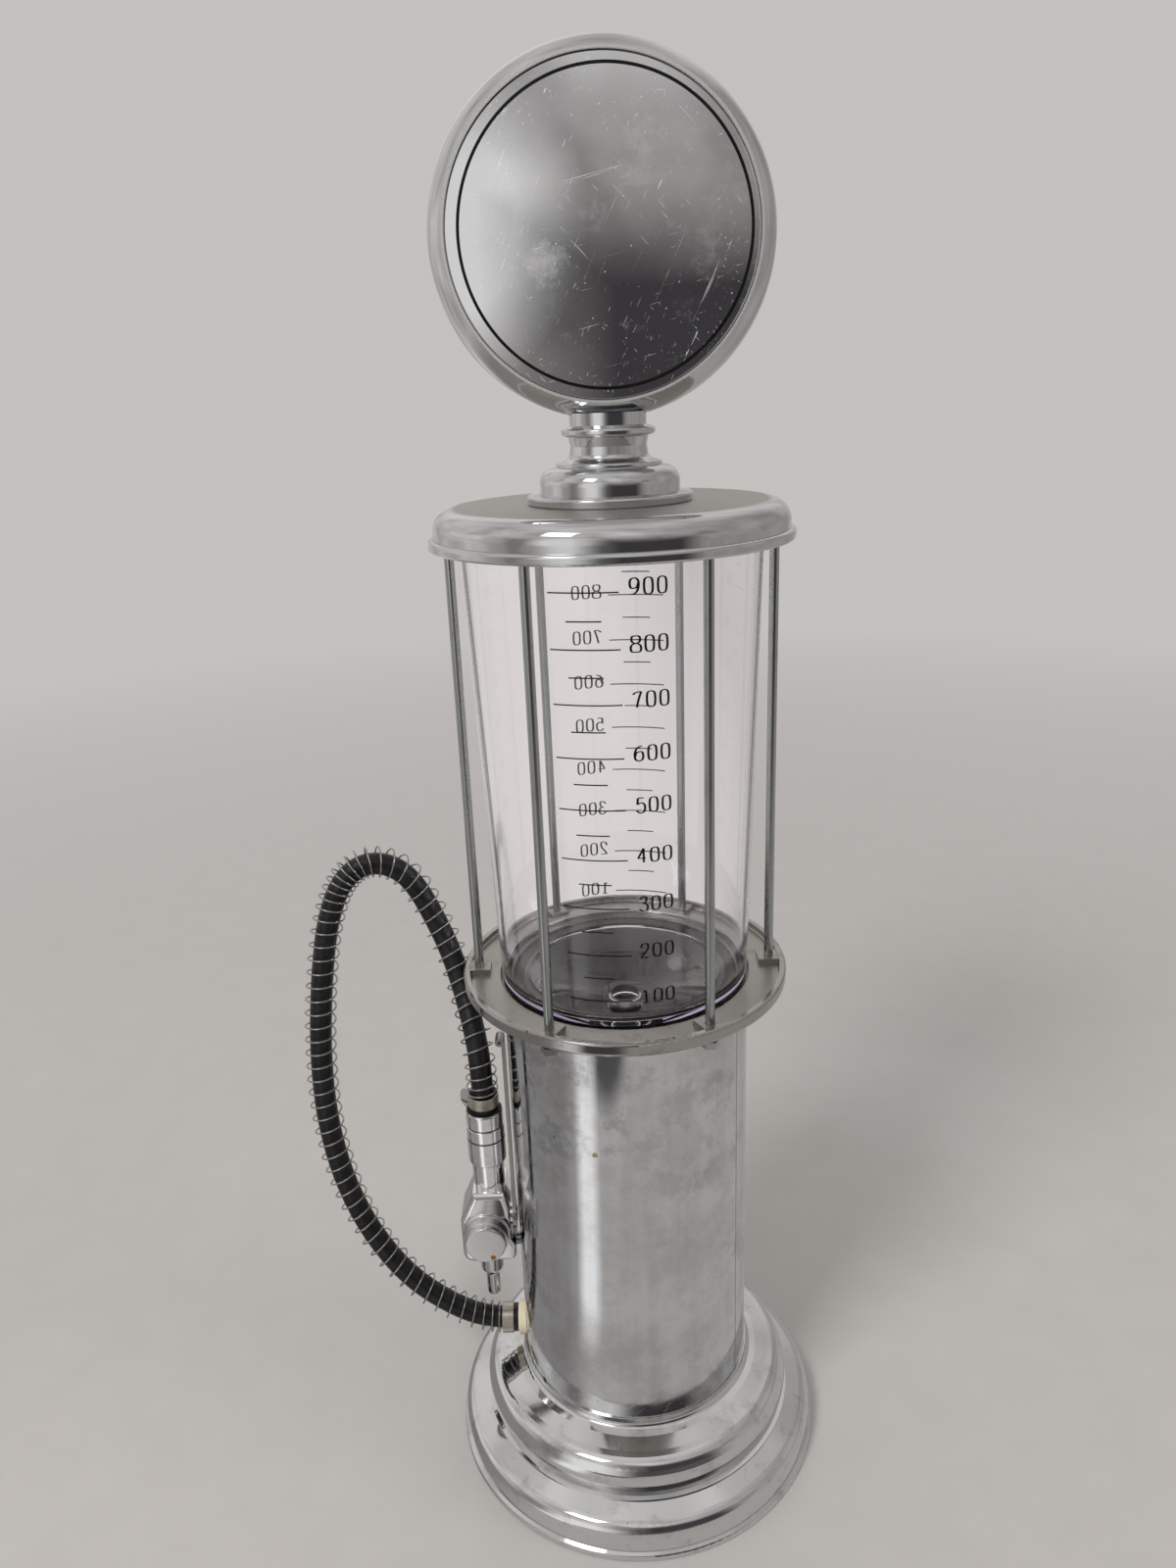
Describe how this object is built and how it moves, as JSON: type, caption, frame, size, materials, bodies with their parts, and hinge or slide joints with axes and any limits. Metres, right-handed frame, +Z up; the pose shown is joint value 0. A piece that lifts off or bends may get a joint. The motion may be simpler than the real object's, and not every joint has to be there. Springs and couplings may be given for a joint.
{
  "type": "liquor dispenser",
  "caption": "Table-top drinks dispenser shaped like an old fuel pump: clear graduated canister on a column, domed round sign as stopper, sprung hose and a tap nozzle with a lever.",
  "frame": {"origin": "centre of the foot, on the table", "axes": "+Z up along the column, the sign faces -Y, the hose and nozzle are on the -X side"},
  "size_m": [0.1946, 0.142, 0.4905],
  "materials": {
    "chrome": "bright plating with light stains",
    "mirror_sheet": "mirror, finely scratched",
    "cast_metal": "dull stained casting",
    "zinc": "zinc plated",
    "clear_plastic": "clear",
    "clear_tube": "clear, yellowed",
    "black_rubber": "glossy black",
    "nickel": "nickel plated",
    "ferrule_brass": "nickel plated brass",
    "nozzle_metal": "worn plating",
    "cream_plastic": "cream",
    "felt": "dark felt"
  },
  "bodies": {
    "pump": {"base_foot": "chrome", "base_pad": "felt", "column_tube": "chrome", "column_screws": "zinc", "column_nuts": "zinc", "shelf_ring": "cast_metal", "tie_rods": "zinc", "rod_nuts": "zinc", "canister": "clear_plastic", "lid": "chrome", "lid_seal": "black_rubber", "outlet_tailpiece": "black_rubber", "feed_tube": "clear_tube", "hose_nipple": "nickel", "nipple_nut": "zinc", "hose_grommet": "cream_plastic", "hose_sleeve_lower": "black_rubber", "hose_ferrule_lower": "ferrule_brass", "hose": "black_rubber", "hose_spring": "nickel", "nozzle_peg": "zinc", "peg_nut": "zinc"},
    "topper": {"pedestal": "chrome", "topper_stud": "zinc", "topper_nuts": "zinc", "fill_stopper": "black_rubber", "sign_rim": "chrome", "sign_face_front": "mirror_sheet", "sign_face_back": "mirror_sheet"},
    "nozzle": {"nozzle_collar": "nozzle_metal", "nozzle_body": "nozzle_metal", "valve_cap": "nozzle_metal", "valve_spring": "zinc", "spout": "nozzle_metal", "hose_sleeve_upper": "black_rubber", "hose_ferrule_upper": "ferrule_brass"},
    "trigger": {"trigger_lever": "nickel", "trigger_shaft": "nickel", "trigger_screw": "nickel"},
    "valve": {"valve_stem": "nickel", "valve_seal": "black_rubber"}
  },
  "joints": [
    {"name": "topper_lift", "type": "slide", "parent": "pump", "child": "topper", "axis": [0, 0, 1], "range_m": [0, 0.05]},
    {"name": "nozzle_pull", "type": "slide", "parent": "pump", "child": "nozzle", "axis": [-1, 0, 0], "range_m": [0, 0.01], "deforming": ["hose", "hose_spring"]},
    {"name": "trigger_swing", "type": "hinge", "parent": "nozzle", "child": "trigger", "pos_m": [-0.0454, 0, 0.0955], "axis": [1, 0, 0], "range_deg": [0, 30], "stiffness_Nm_per_rad": 0.02},
    {"name": "valve_slide", "type": "slide", "parent": "nozzle", "child": "valve", "axis": [0, -1, 0], "range_m": [0, 0.0007575], "deforming": ["valve_spring"]}
  ],
  "couplings": [
    {"joint": "valve_slide", "follows": "trigger_swing", "m_per_rad": 0.0014324}
  ]
}
